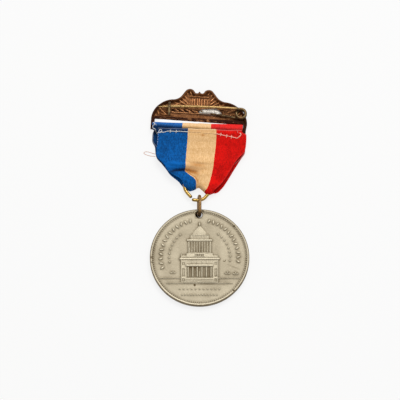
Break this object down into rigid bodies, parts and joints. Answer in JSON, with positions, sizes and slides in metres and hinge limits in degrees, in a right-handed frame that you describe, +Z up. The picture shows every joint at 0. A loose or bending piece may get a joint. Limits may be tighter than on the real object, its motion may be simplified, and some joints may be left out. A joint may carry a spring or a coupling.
{
  "type": "commemorative medal",
  "caption": "Round struck medal on a tricolour ribbon, hung from a stamped brooch bar with a sprung pin, lying on its front.",
  "frame": {"origin": "on the floor under the middle of the whole medal's box", "axes": "+Y from the disc towards the brooch bar, +X across the ribbon, +Z up, out of the medal's back"},
  "size_m": [0.0382, 0.0874, 0.0051],
  "materials": {
    "copper_bronze": "dark brown toned stamped bronze with copper coloured highlights",
    "pin_brass": "dull brass wire",
    "ribbon_silk": "finely woven ribbon in blue, cream and red stripes",
    "gilt_wire": "worn gilt wire",
    "dull_brass": "tarnished brass wire",
    "white_metal": "dull toned white metal with brown in the recesses"
  },
  "bodies": {
    "medal": {"brooch_bar": "copper_bronze", "ribbon": "ribbon_silk", "suspension_ring": "gilt_wire", "jump_ring": "dull_brass", "medal_disc": "white_metal"},
    "pin": {"pin_stem": "pin_brass"}
  },
  "joints": [
    {"name": "pin_swing", "type": "hinge", "parent": "medal", "child": "pin", "pos_m": [0.01624, 0.03341, 0.00285], "axis": [0, 0, 1], "range_deg": [0, 8.5], "stiffness_Nm_per_rad": 0.001, "springref_deg": -5.73}
  ]
}
